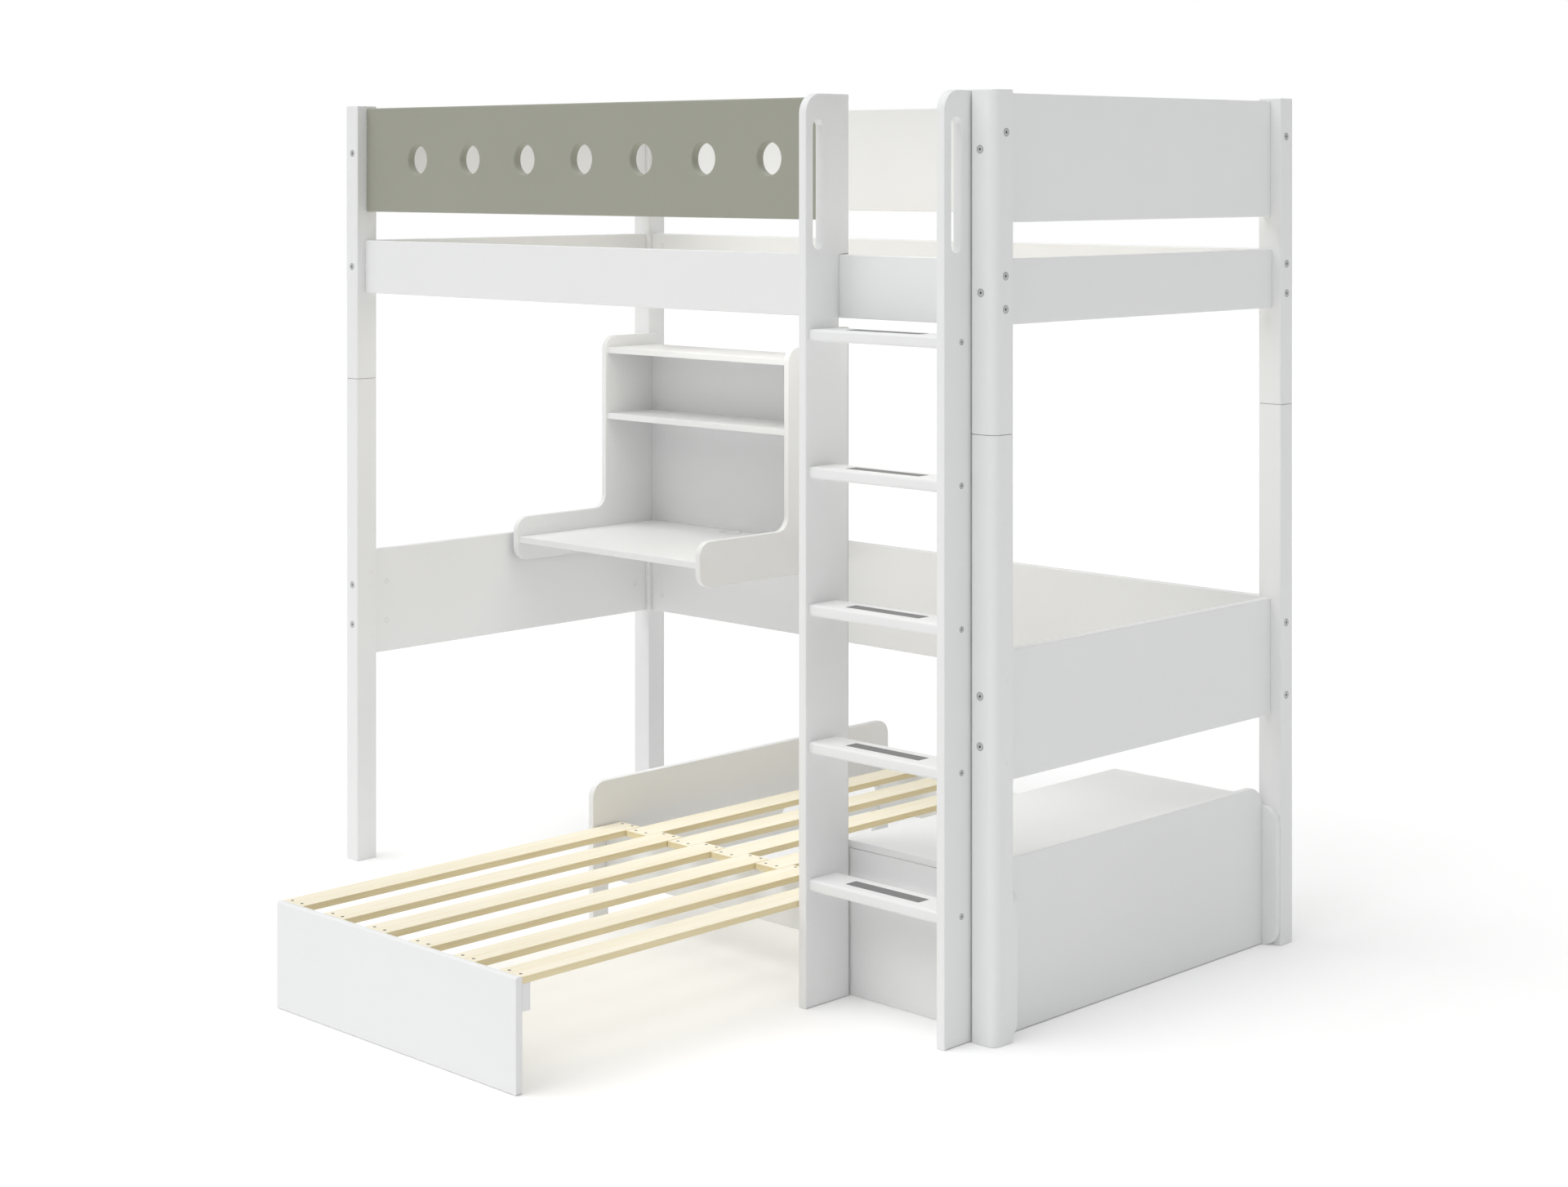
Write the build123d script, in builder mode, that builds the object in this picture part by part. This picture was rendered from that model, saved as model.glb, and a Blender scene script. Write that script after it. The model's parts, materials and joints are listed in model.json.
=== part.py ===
from build123d import *
import os

# Loft bed with a ladder, a hanging desk, a sofa bed that pulls out and a chest with a lid.
# The origin is on the floor, in the middle of the length and of the whole depth
# with the sofa bed pulled out. +X runs along the mattress to the ladder end,
# +Y to the back and +Z up. Sizes are millimetres.

os.makedirs("parts", exist_ok=True)

# Overall sizes
bed_length = 2100
bed_depth = 1036
bed_height = 1864
pullout_reach = 821

# Posts, each in two lengths joined by a loose tenon
post_side = 58
post_radius = 20
post_edge = 2
seam_height = 1190
seam_chamfer = 1.2
tenon_width = 30
tenon_thickness = 12
tenon_length = 90
tenon_clearance = 0.1

# Rails that carry the mattress, and the panels above and below them
rail_height = 130
rail_thickness = 24
rail_inset = 22.5
panel_thickness = 20
panel_inset = 26.5
guard_height = 255
guard_top_drop = 6
guard_rail_gap = 71
lower_bottom = 505
lower_height = 257
board_edge = 2

# Countersunk bolts through the posts into the ends of the rails and panels.
# They and their holes have eight sides, which keeps so many repeats light.
bolt_sides = 8
bolt_radius = 4
bolt_clearance = 0.3
bolt_head_radius = 7.5
bolt_head_clearance = 0.15
bolt_grip = 30
rail_bolt_rises = (32.5, 97.5)
end_rail_bolt_rises = (65,)
guard_bolt_rises = (177,)
end_guard_bolt_rises = (144,)
lower_bolt_rises = (44, 204)
end_lower_bolt_rises = (77, 175)

# Round holes in the front guard panel
guard_hole_count = 7
guard_hole_radius = 35
guard_hole_rim = 3.5
guard_hole_start = 203
guard_hole_end = 187

# Mattress base
ledge_depth = 22
ledge_height = 38
ledge_end_gap = 2
mattress_slat_count = 14
mattress_slat_width = 68
mattress_slat_thickness = 18
mattress_slat_side_gap = 1
mattress_slat_end_gap = 12

# Ladder
ladder_width = 351
stringer_thickness = 21
stringer_depth = 128
stringer_front = 76
stringer_corner = 42
stringer_top_drop = 1
spacer_thickness = 4
spacer_radius = 12
notch_drop = 20
grip_slot_width = 28
grip_slot_length = 264
grip_slot_top_drop = 54
grip_slot_from_front = 35.5
tread_count = 5
first_tread_top = 262.5
last_tread_drop = 19.5
tread_thickness = 24
tread_depth = 84
tread_setback = 9
tread_radius = 6
strip_length = 197
strip_width = 32
strip_thickness = 1.3
strip_recess = 1

# Boards of the desk, the sofa bed and the chest
board_thickness = 16
corner_radius = 36

# Desk
desk_width = 698
desk_post_gap = 6
desk_rise = 188
desk_rail_gap = 140
desk_arm_height = 112
desk_arm_reach = 496
desk_upper_reach = 189
desktop_rise = 46
desk_overhang = 7
desk_panel_gap = 3.5
upper_shelf_drop = 46
shelf_spacing = 176
shelf_setback = 7
grommet_sides = 24
grommet_radius = 28
grommet_wall = 2.5
grommet_flange = 4
grommet_flange_height = 1.5
grommet_clearance = 0.1
grommet_back_gap = 3
desk_bolt_rise = 34

# Sofa bed and its pull-out half
sofa_width = 760
sofa_height = 318
sofa_setback = 41
sofa_foot = 47
sofa_cut_height = 96
sofa_cut_radius = 24
side_slot_length = 350
side_slot_height = 40
side_slot_bottom = 118
side_slot_from_back = 33
cross_rail_thickness = 20
cross_rail_bottom = 96.5
cross_rail_top = 202.7
apron_setback = 80.5
back_rail_inset = 16
slat_thickness = 14
slat_gap = 1.7
pullout_slat_count = 6
slide_gap = 0.3
slat_side_margin = 3.5
fixed_slat_overhang = 4.5
pullout_side_gap = 3
pullout_floor_gap = 1
pullout_board_rise = 1
pullout_edge = 5
batten_depth = 19.7
batten_height = 51
crossbar_gap = 1
crossbar_height = 40
groove_gap = 0.5
groove_margin = 1.2

# Chest
chest_height = 304.2
end_panel_height = 348
end_panel_gap = 3.3
end_panel_radius = 42
plate_margin = 2
chest_floor_rise = 20
chest_floor_thickness = 12
lid_gap = 0.3
lid_post_gap = 1.5
lid_end_gap = 1.3

# Lid hinges, each with one knuckle on the end panel and one on the lid
hinge_spacing = 600
hinge_length = 66
knuckle_radius = 3
knuckle_gap = 0.3
pin_radius = 1.5
pin_clearance = 0.04
leaf_thickness = 1.2
leaf_width = 20

# Places that follow from the sizes
half_length = bed_length / 2
y_back = (bed_depth + pullout_reach) / 2
y_front = y_back - bed_depth
y_middle = (y_front + y_back) / 2
y_pullout = -y_back
x_post = half_length - post_side
y_post_front = y_front + post_side
y_post_back = y_back - post_side
x_right_stringer = x_post - spacer_thickness - stringer_thickness
x_left_stringer = x_right_stringer - ladder_width - stringer_thickness
y_stringer = y_front - stringer_front
guard_bottom = bed_height - guard_top_drop - guard_height
rail_top = guard_bottom - guard_rail_gap
rail_bottom = rail_top - rail_height
guard_length = x_left_stringer + x_post
guard_hole_pitch = (guard_length - guard_hole_start - guard_hole_end) / (guard_hole_count - 1)
stringer_height = bed_height - stringer_top_drop
tread_pitch = (rail_bottom - last_tread_drop - first_tread_top) / (tread_count - 1)
x_desk = desk_post_gap - x_post
y_desk_back = y_back - panel_inset - panel_thickness
desk_bottom = lower_bottom + desk_rise
desk_top = rail_bottom - desk_rail_gap
desk_bolt_height = desk_bottom + desk_bolt_rise
x_chest = x_left_stringer
sofa_left = x_chest - sofa_width

HANGING = (Align.CENTER, Align.CENTER, Align.MAX)
STANDING = (Align.CENTER, Align.CENTER, Align.MIN)
CORNER = (Align.MIN, Align.MIN, Align.MIN)

side_planes = {
    "front": Plane((0, y_front, 0), x_dir=(1, 0, 0), z_dir=(0, -1, 0)),
    "back": Plane((0, y_back, 0), x_dir=(-1, 0, 0), z_dir=(0, 1, 0)),
    "left": Plane((-half_length, y_middle, 0), x_dir=(0, -1, 0), z_dir=(-1, 0, 0)),
    "right": Plane((half_length, y_middle, 0), x_dir=(0, 1, 0), z_dir=(1, 0, 0)),
}
side_lengths = {"front": bed_length, "back": bed_length, "left": bed_depth, "right": bed_depth}


def save(piece, name):
    """Label a finished piece and write it under its own name."""
    piece.part.label = name
    export_step(piece.part, f"parts/{name}.step")


def side_spot(side, across, up, inward, direction):
    """A plane at a point inside one side of the bed, facing along direction."""
    point = side_planes[side].from_local_coords((across, up, -inward))
    return Plane(point, z_dir=direction)


def x_plane(x):
    """A plane across the length: its x runs to the back and its y up."""
    return Plane((x, 0, 0), x_dir=(0, 1, 0), z_dir=(1, 0, 0))


def bolt_form(clearance, head_clearance, length):
    """A bolt, or the hole for one: its flat head is at the top, in the XY plane."""
    radius = bolt_radius + clearance
    head_radius = bolt_head_radius + head_clearance
    with BuildPart() as form:
        with BuildSketch():
            RegularPolygon(head_radius, bolt_sides, major_radius=False)
        with BuildSketch(Plane.XY.offset(radius - head_radius)):
            RegularPolygon(radius, bolt_sides, major_radius=False)
        loft()
        with BuildSketch(Plane.XY.offset(radius - head_radius)):
            RegularPolygon(radius, bolt_sides, major_radius=False)
        extrude(amount=head_radius - radius - length)
    return form.part


with BuildPart() as bolt_bore:
    with BuildSketch():
        RegularPolygon(bolt_radius + bolt_clearance, bolt_sides, major_radius=False)
    extrude(amount=-bolt_grip)

bolt_hole = bolt_form(bolt_clearance, bolt_head_clearance, post_side)

# Rails and panels between the posts, each bored at both ends for its bolts
bolt_heads = []


def cross_board(name, side, inset, thickness, bottom, height, rises, high=None, hole_centres=(), heads=()):
    """A straight board on one side of the bed. Its bolt places join the common list."""
    plane = side_planes[side]
    low = post_side - side_lengths[side] / 2
    high = -low if high is None else high
    ends = ((low, -plane.x_dir), (high, plane.x_dir))
    middle = inset + thickness / 2
    spots = [side_spot(side, x, bottom + rise, middle, out) for x, out in ends for rise in rises]
    with BuildPart() as piece:
        with BuildSketch(plane.offset(-inset)):
            with Locations(((low + high) / 2, bottom + height / 2)):
                Rectangle(high - low, height)
            if hole_centres:
                with Locations(*hole_centres):
                    Circle(guard_hole_radius, mode=Mode.SUBTRACT)
        extrude(amount=-thickness)
        if hole_centres:
            rims = piece.edges().filter_by(GeomType.CIRCLE).group_by(Axis(plane.origin, plane.z_dir))
            chamfer(rims[-1], guard_hole_rim)
        chamfer(piece.edges().filter_by(Axis((0, 0, 0), plane.x_dir)), board_edge)
        with Locations(*spots):
            add(bolt_bore.part, mode=Mode.SUBTRACT)
        if heads:
            with Locations(*heads):
                add(bolt_hole, mode=Mode.SUBTRACT)
    save(piece, name)
    for spot in spots:
        if high == -low or spot.origin.X < 0:
            bolt_heads.append(spot.offset(post_side))


rail_section = (rail_inset, rail_thickness, rail_bottom, rail_height)
guard_section = (panel_inset, panel_thickness, guard_bottom, guard_height)
lower_section = (panel_inset, panel_thickness, lower_bottom, lower_height)
for side in ("front", "back"):
    cross_board(f"{side}_rail", side, *rail_section, rail_bolt_rises)
for side in ("left", "right"):
    cross_board(f"{side}_rail", side, *rail_section, end_rail_bolt_rises)
    cross_board(f"{side}_guard_panel", side, *guard_section, end_guard_bolt_rises)
    cross_board(f"{side}_lower_panel", side, *lower_section, end_lower_bolt_rises)
cross_board("back_guard_panel", "back", *guard_section, guard_bolt_rises)
desk_bolt_heads = [
    side_spot("back", -x, desk_bolt_height, panel_inset, (0, 1, 0))
    for x in (x_desk + board_thickness / 2, x_desk + desk_width - board_thickness / 2)
]
cross_board("back_lower_panel", "back", *lower_section, lower_bolt_rises, heads=desk_bolt_heads)

# The front guard panel ends at the ladder and has a row of round holes
cross_board(
    "front_guard_panel", "front", *guard_section, guard_bolt_rises,
    high=x_left_stringer,
    hole_centres=[
        (guard_hole_start - x_post + index * guard_hole_pitch, guard_bottom + guard_height / 2)
        for index in range(guard_hole_count)
    ],
)

# The right post carries the ladder by one bolt, through a spacer on the stringer
ladder_bolt_height = guard_bottom + guard_bolt_rises[0]
ladder_bolt_inset = panel_inset + panel_thickness / 2
ladder_bolt_head = side_spot("front", half_length, ladder_bolt_height, ladder_bolt_inset, (1, 0, 0))


# Posts, rounded on the outer corner, each in a lower and an upper length
def post(name, side_x, side_y, low, high, seam_edge):
    """One length of a corner post with its countersunk bolt holes and half a mortise."""
    x = side_x * (half_length - post_side / 2)
    y = y_middle + side_y * (bed_depth - post_side) / 2
    outward = Axis((0, 0, 0), (side_x, side_y, 0))
    heads = [
        spot
        for spot in bolt_heads + [ladder_bolt_head]
        if max(abs(spot.origin.X - x), abs(spot.origin.Y - y)) < post_side and low < spot.origin.Z < high
    ]
    with BuildPart() as piece:
        with BuildSketch(Plane.XY.offset(low)) as outline:
            with Locations((x, y)):
                Rectangle(post_side, post_side)
            fillet(outline.vertices().sort_by(outward)[-1], post_radius)
            chamfer(outline.vertices().sort_by(outward)[:3], post_edge)
        extrude(amount=high - low)
        if seam_edge:
            chamfer(piece.faces().sort_by(Axis.Z)[0].edges(), seam_chamfer)
        with Locations((x, y, seam_height)):
            Box(
                tenon_width + 2 * tenon_clearance, tenon_thickness + 2 * tenon_clearance,
                tenon_length + 2 * tenon_clearance, mode=Mode.SUBTRACT,
            )
        if heads:
            with Locations(*heads):
                add(bolt_hole, mode=Mode.SUBTRACT)
    save(piece, name)


for front_back, side_y in (("front", -1), ("back", 1)):
    for left_right, side_x in (("left", -1), ("right", 1)):
        post(f"{front_back}_{left_right}_lower_post", side_x, side_y, 0, seam_height, False)
        post(f"{front_back}_{left_right}_upper_post", side_x, side_y, seam_height, bed_height, True)

with BuildPart() as post_tenons:
    with Locations((0, y_middle, seam_height)):
        with GridLocations(bed_length - post_side, bed_depth - post_side, 2, 2):
            Box(tenon_width, tenon_thickness, tenon_length)
save(post_tenons, "post_tenons")

# Bolts, with flat heads flush in the posts
with BuildPart() as frame_bolts:
    with Locations(*bolt_heads):
        add(bolt_form(0, 0, post_side + bolt_grip - bolt_clearance))
save(frame_bolts, "frame_bolts")

# Mattress base: ledges inside the long rails and slats across them
ledge_length = 2 * (x_post - ledge_end_gap)
y_rail_inner = rail_inset + rail_thickness
with BuildPart() as mattress_ledges:
    with Locations((0, y_middle, rail_bottom)):
        with GridLocations(0, bed_depth - 2 * y_rail_inner - ledge_depth, 1, 2):
            Box(ledge_length, ledge_depth, ledge_height, align=STANDING)
save(mattress_ledges, "mattress_ledges")

slat_span = ledge_length - 2 * mattress_slat_end_gap - mattress_slat_width
with BuildPart() as mattress_slats:
    with Locations((0, y_middle, rail_bottom + ledge_height)):
        with GridLocations(slat_span / (mattress_slat_count - 1), 0, mattress_slat_count, 1):
            Box(
                mattress_slat_width, bed_depth - 2 * (y_rail_inner + mattress_slat_side_gap),
                mattress_slat_thickness, align=STANDING,
            )
save(mattress_slats, "mattress_slats")

# Ladder stringers, hooked over the front rail
y_stringer_back = y_stringer + stringer_depth
y_rail_outer = y_front + rail_inset
grip_slot_middle = stringer_height - grip_slot_top_drop - grip_slot_length / 2
slot_middle = (y_stringer + grip_slot_from_front, grip_slot_middle)
guard_bolt_spot = (y_front + ladder_bolt_inset, ladder_bolt_height)


def stringer(name, x, hole):
    """One side of the ladder with its grip slot, its notch for the rail and its bolt hole."""
    with BuildPart() as piece:
        with BuildSketch(x_plane(x)) as outline:
            with BuildLine():
                Polyline(
                    (y_stringer, 0), (y_stringer_back, 0), (y_stringer_back, rail_bottom - notch_drop),
                    (y_rail_outer, rail_bottom - notch_drop), (y_rail_outer, rail_top),
                    (y_stringer_back, rail_top), (y_stringer_back, stringer_height),
                    (y_stringer, stringer_height), close=True,
                )
            make_face()
            fillet(outline.vertices().group_by(Axis.Y)[-1].sort_by(Axis.X)[0], stringer_corner)
            with Locations(slot_middle):
                SlotOverall(grip_slot_length, grip_slot_width, rotation=90, mode=Mode.SUBTRACT)
        extrude(amount=stringer_thickness)
        chamfer(piece.edges().filter_by(Axis.Z).group_by(Axis.Y)[0], board_edge)
        with Locations(Plane((x + stringer_thickness, *guard_bolt_spot), z_dir=(1, 0, 0))):
            add(hole, mode=Mode.SUBTRACT)
    save(piece, name)


stringer("left_stringer", x_left_stringer, bolt_hole)
stringer("right_stringer", x_right_stringer, bolt_bore.part)

with BuildPart() as stringer_spacer:
    with BuildSketch(Plane((x_post, *guard_bolt_spot), z_dir=(1, 0, 0))):
        RegularPolygon(spacer_radius, bolt_sides, major_radius=False)
        RegularPolygon(bolt_radius + bolt_clearance, bolt_sides, major_radius=False, mode=Mode.SUBTRACT)
    extrude(amount=-spacer_thickness)
save(stringer_spacer, "stringer_spacer")

# Two bolts hold the ladder: from the right post, and from the left stringer into the guard panel
left_bolt_head = Plane((x_left_stringer + stringer_thickness, *guard_bolt_spot), z_dir=(1, 0, 0))
with BuildPart() as ladder_bolts:
    with Locations(ladder_bolt_head):
        add(bolt_form(0, 0, post_side + spacer_thickness + stringer_thickness))
    with Locations(left_bolt_head):
        add(bolt_form(0, 0, stringer_thickness + bolt_grip - bolt_clearance))
save(ladder_bolts, "ladder_bolts")

# Treads with rounded edges, each with a strip let into its top
x_tread = x_left_stringer + stringer_thickness
y_tread = y_stringer + tread_setback
strip_spot = (x_tread + ladder_width / 2, y_tread + tread_depth / 2)
for number in range(tread_count):
    top = first_tread_top + number * tread_pitch
    with BuildPart() as tread:
        with BuildSketch(x_plane(x_tread)):
            with Locations((y_tread + tread_depth / 2, top - tread_thickness / 2)):
                RectangleRounded(tread_depth, tread_thickness, tread_radius)
        extrude(amount=ladder_width)
        with Locations((*strip_spot, top)):
            Box(strip_length, strip_width, strip_recess, align=HANGING, mode=Mode.SUBTRACT)
    save(tread, f"tread_{number + 1}")

with BuildPart() as tread_strips:
    for number in range(tread_count):
        with Locations((*strip_spot, first_tread_top + number * tread_pitch - strip_recess)):
            Box(strip_length, strip_width, strip_thickness, align=STANDING)
save(tread_strips, "tread_strips")

# Desk: two gables bolted to the back lower panel's face, with a desktop and two shelves
x_desk_inner = x_desk + board_thickness
desk_inner_width = desk_width - 2 * board_thickness
desk_elbow = (y_desk_back - desk_upper_reach, desk_bottom + desk_arm_height)


def gable(name, x):
    """A side of the desk: an arm under the desktop and an upright that carries the shelves."""
    y_arm = y_desk_back - desk_arm_reach
    with BuildPart() as piece:
        with BuildSketch(x_plane(x)) as outline:
            with BuildLine():
                Polyline(
                    (y_desk_back, desk_bottom), (y_desk_back, desk_top), (desk_elbow[0], desk_top),
                    desk_elbow, (y_arm, desk_elbow[1]), (y_arm, desk_bottom), close=True,
                )
            make_face()
            fillet(outline.vertices().group_by(Axis.X)[:-1], corner_radius)
        extrude(amount=board_thickness)
        with Locations(Plane((x + board_thickness / 2, y_desk_back, desk_bolt_height), z_dir=(0, 1, 0))):
            add(bolt_bore.part, mode=Mode.SUBTRACT)
    save(piece, name)


gable("desk_left_gable", x_desk)
gable("desk_right_gable", x_desk + desk_width - board_thickness)

with BuildPart() as desk_bolts:
    with Locations(*desk_bolt_heads):
        add(bolt_form(0, 0, panel_thickness + bolt_grip - bolt_clearance))
save(desk_bolts, "desk_bolts")

y_desk_panel_back = y_desk_back - desk_panel_gap
y_desk_panel = y_desk_panel_back - board_thickness
y_desktop = y_desk_back - desk_arm_reach + desk_overhang
y_shelf = desk_elbow[0] + shelf_setback
desktop_top = desk_bottom + desktop_rise + board_thickness
upper_shelf_bottom = desk_top - upper_shelf_drop
grommet_spot = (
    x_desk + desk_width / 2,
    y_desk_panel - grommet_back_gap - grommet_radius - grommet_flange,
    desktop_top,
)

with BuildPart() as desktop:
    with Locations((x_desk_inner, y_desktop, desk_bottom + desktop_rise)):
        Box(desk_inner_width, y_desk_panel_back - y_desktop, board_thickness, align=CORNER)
    chamfer(desktop.faces().sort_by(Axis.Y)[0].edges().filter_by(Axis.X), board_edge)
    with Locations(grommet_spot):
        Hole(grommet_radius + grommet_clearance, depth=board_thickness)
save(desktop, "desktop")

with BuildPart() as desk_grommet:
    with BuildSketch(Plane(grommet_spot)):
        RegularPolygon(grommet_radius + grommet_flange, grommet_sides)
        RegularPolygon(grommet_radius - grommet_wall, grommet_sides, mode=Mode.SUBTRACT)
    extrude(amount=grommet_flange_height)
    with BuildSketch(Plane(grommet_spot)):
        RegularPolygon(grommet_radius, grommet_sides)
        RegularPolygon(grommet_radius - grommet_wall, grommet_sides, mode=Mode.SUBTRACT)
    extrude(amount=-board_thickness)
save(desk_grommet, "desk_grommet")

with BuildPart() as desk_back_panel:
    with Locations((x_desk_inner, y_desk_panel, desktop_top)):
        Box(desk_inner_width, board_thickness, upper_shelf_bottom - desktop_top, align=CORNER)
save(desk_back_panel, "desk_back_panel")

with BuildPart() as middle_shelf:
    with Locations((x_desk_inner, y_shelf, upper_shelf_bottom - shelf_spacing)):
        Box(desk_inner_width, y_desk_panel - y_shelf, board_thickness, align=CORNER)
    chamfer(middle_shelf.faces().sort_by(Axis.Y)[0].edges().filter_by(Axis.X), board_edge)
save(middle_shelf, "middle_shelf")

with BuildPart() as upper_shelf:
    with Locations((x_desk_inner, y_shelf, upper_shelf_bottom)):
        Box(desk_inner_width, y_desk_panel_back - y_shelf, board_thickness, align=CORNER)
    chamfer(upper_shelf.faces().sort_by(Axis.Y)[0].edges().filter_by(Axis.X), board_edge)
save(upper_shelf, "upper_shelf")

# Sofa bed: a side panel with a cut-out and a long slot, two cross rails and the fixed slats
y_side_panel = y_front + sofa_setback
y_side_slot = y_back - side_slot_from_back - side_slot_length / 2
with BuildPart() as sofa_side_panel:
    with BuildSketch(x_plane(sofa_left - board_thickness)) as outline:
        with BuildLine():
            Polyline(
                (y_side_panel, 0), (y_side_panel, sofa_height), (y_back, sofa_height), (y_back, 0),
                (y_back - sofa_foot, 0), (y_back - sofa_foot, sofa_cut_height),
                (y_side_panel + sofa_foot, sofa_cut_height), (y_side_panel + sofa_foot, 0), close=True,
            )
        make_face()
        fillet(outline.vertices().group_by(Axis.Y)[-1], corner_radius)
        fillet(outline.vertices().group_by(Axis.Y)[1], sofa_cut_radius)
        with Locations((y_side_slot, side_slot_bottom + side_slot_height / 2)):
            SlotOverall(side_slot_length, side_slot_height, mode=Mode.SUBTRACT)
    extrude(amount=board_thickness)
save(sofa_side_panel, "sofa_side_panel")

y_apron = y_front + apron_setback
y_sofa_rail = y_back - back_rail_inset - cross_rail_thickness
for name, y in (("sofa_apron", y_apron), ("sofa_back_rail", y_sofa_rail)):
    with BuildPart() as cross_rail:
        with Locations((sofa_left, y, cross_rail_bottom)):
            Box(sofa_width, cross_rail_thickness, cross_rail_top - cross_rail_bottom, align=CORNER)
    save(cross_rail, name)

# The two sets of slats lie between each other
slat_count = 2 * pullout_slat_count - 1
slat_pitch = (sofa_width - 2 * slat_side_margin + slat_gap) / slat_count
slat_width = slat_pitch - slat_gap
x_first_slat = sofa_left + slat_side_margin
y_fixed_slat = y_apron - fixed_slat_overhang
with BuildPart() as fixed_slats:
    for index in range(1, slat_count, 2):
        with Locations((x_first_slat + index * slat_pitch, y_fixed_slat, cross_rail_top)):
            Box(
                slat_width, y_sofa_rail + cross_rail_thickness - y_fixed_slat, slat_thickness, align=CORNER
            )
save(fixed_slats, "fixed_slats")

# The half that pulls out: front board, batten, crossbar and its own slats
pullout_slat_bottom = cross_rail_top + slide_gap
y_pullout_slat = y_pullout + board_thickness
y_crossbar = y_apron + cross_rail_thickness + crossbar_gap
with BuildPart() as pullout_front:
    with Locations((sofa_left + pullout_side_gap, y_pullout, pullout_floor_gap)):
        Box(
            sofa_width - 2 * pullout_side_gap, board_thickness,
            pullout_slat_bottom + slat_thickness + pullout_board_rise - pullout_floor_gap, align=CORNER,
        )
    fillet(pullout_front.faces().sort_by(Axis.Z)[-1].edges().filter_by(Axis.X), pullout_edge)
save(pullout_front, "pullout_front")

with BuildPart() as pullout_batten:
    with Locations((x_first_slat, y_pullout_slat, pullout_slat_bottom - batten_height)):
        Box(slat_count * slat_pitch - slat_gap, batten_depth, batten_height, align=CORNER)
save(pullout_batten, "pullout_batten")

with BuildPart() as pullout_crossbar:
    with Locations((x_first_slat, y_crossbar, pullout_slat_bottom - crossbar_height)):
        Box(slat_count * slat_pitch - slat_gap, cross_rail_thickness, crossbar_height, align=CORNER)
    for index in range(1, slat_count, 2):
        x_groove = x_first_slat + index * slat_pitch - groove_margin
        with Locations((x_groove, y_crossbar, cross_rail_top - groove_gap)):
            Box(
                slat_width + 2 * groove_margin, cross_rail_thickness, slide_gap + groove_gap,
                align=CORNER, mode=Mode.SUBTRACT,
            )
save(pullout_crossbar, "pullout_crossbar")

with BuildPart() as pullout_slats:
    for index in range(0, slat_count, 2):
        with Locations((x_first_slat + index * slat_pitch, y_pullout_slat, pullout_slat_bottom)):
            Box(slat_width, y_crossbar + cross_rail_thickness - y_pullout_slat, slat_thickness, align=CORNER)
save(pullout_slats, "pullout_slats")

# Chest at the ladder end: its inner side also carries the sofa bed
x_chest_inner = x_chest + board_thickness
x_end_panel = x_post + end_panel_gap
y_chest_front = y_post_front + board_thickness
y_chest_back = y_post_back - board_thickness
with BuildPart() as chest_inner_panel:
    with Locations((x_chest, y_post_front, 0)):
        Box(board_thickness, y_back - y_post_front, chest_height, align=CORNER)
save(chest_inner_panel, "chest_inner_panel")

for name, y in (("chest_front_panel", y_chest_front), ("chest_back_panel", y_post_back)):
    with BuildPart() as plate:
        with BuildSketch(Plane((0, y, 0), x_dir=(1, 0, 0), z_dir=(0, -1, 0))) as outline:
            with BuildLine():
                Polyline(
                    (x_chest_inner, 0), (half_length - plate_margin, 0),
                    (half_length - plate_margin, chest_height), (x_chest_inner, chest_height), close=True,
                )
            make_face()
            fillet(outline.vertices().group_by(Axis.X)[-1], corner_radius)
        extrude(amount=board_thickness)
    save(plate, name)

with BuildPart() as chest_end_panel:
    with BuildSketch(x_plane(x_end_panel)) as outline:
        with BuildLine():
            Polyline(
                (y_chest_front, 0), (y_chest_back, 0), (y_chest_back, end_panel_height),
                (y_chest_front, end_panel_height), close=True,
            )
        make_face()
        fillet(outline.vertices().group_by(Axis.Y)[-1], end_panel_radius)
    extrude(amount=board_thickness)
save(chest_end_panel, "chest_end_panel")

with BuildPart() as chest_floor:
    with Locations((x_chest_inner, y_chest_front, chest_floor_rise)):
        Box(x_end_panel - x_chest_inner, y_chest_back - y_chest_front, chest_floor_thickness, align=CORNER)
save(chest_floor, "chest_floor")

# Lid, hinged at the end panel
lid_bottom = chest_height + lid_gap
lid_top = lid_bottom + board_thickness
y_lid = y_post_front + lid_post_gap
y_lid_back = y_post_back - lid_post_gap
x_lid_end = x_end_panel - lid_end_gap
with BuildPart() as chest_lid:
    with Locations((x_chest, y_lid, lid_bottom)):
        Box(x_lid_end - x_chest, y_lid_back - y_lid, board_thickness, align=CORNER)
    chamfer(chest_lid.faces().sort_by(Axis.Z)[-1].edges(), board_edge / 2)
save(chest_lid, "chest_lid")

hinge_x = x_end_panel - knuckle_radius
hinge_z = lid_top + knuckle_radius
knuckle_length = (hinge_length - knuckle_gap) / 2
hinge_middle = (y_chest_front + y_chest_back) / 2
hinge_places = [hinge_middle + side * hinge_spacing / 2 for side in (-1, 1)]

with BuildPart() as hinge_pins:
    with BuildSketch(Plane.XZ.offset(-hinge_middle)):
        with Locations((hinge_x, hinge_z)):
            Circle(pin_radius)
    extrude(amount=(hinge_spacing + hinge_length) / 2, both=True)
    with Locations((hinge_x, hinge_middle, hinge_z)):
        Box(2 * knuckle_radius, hinge_spacing - hinge_length, 2 * knuckle_radius, mode=Mode.SUBTRACT)
save(hinge_pins, "hinge_pins")


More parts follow.
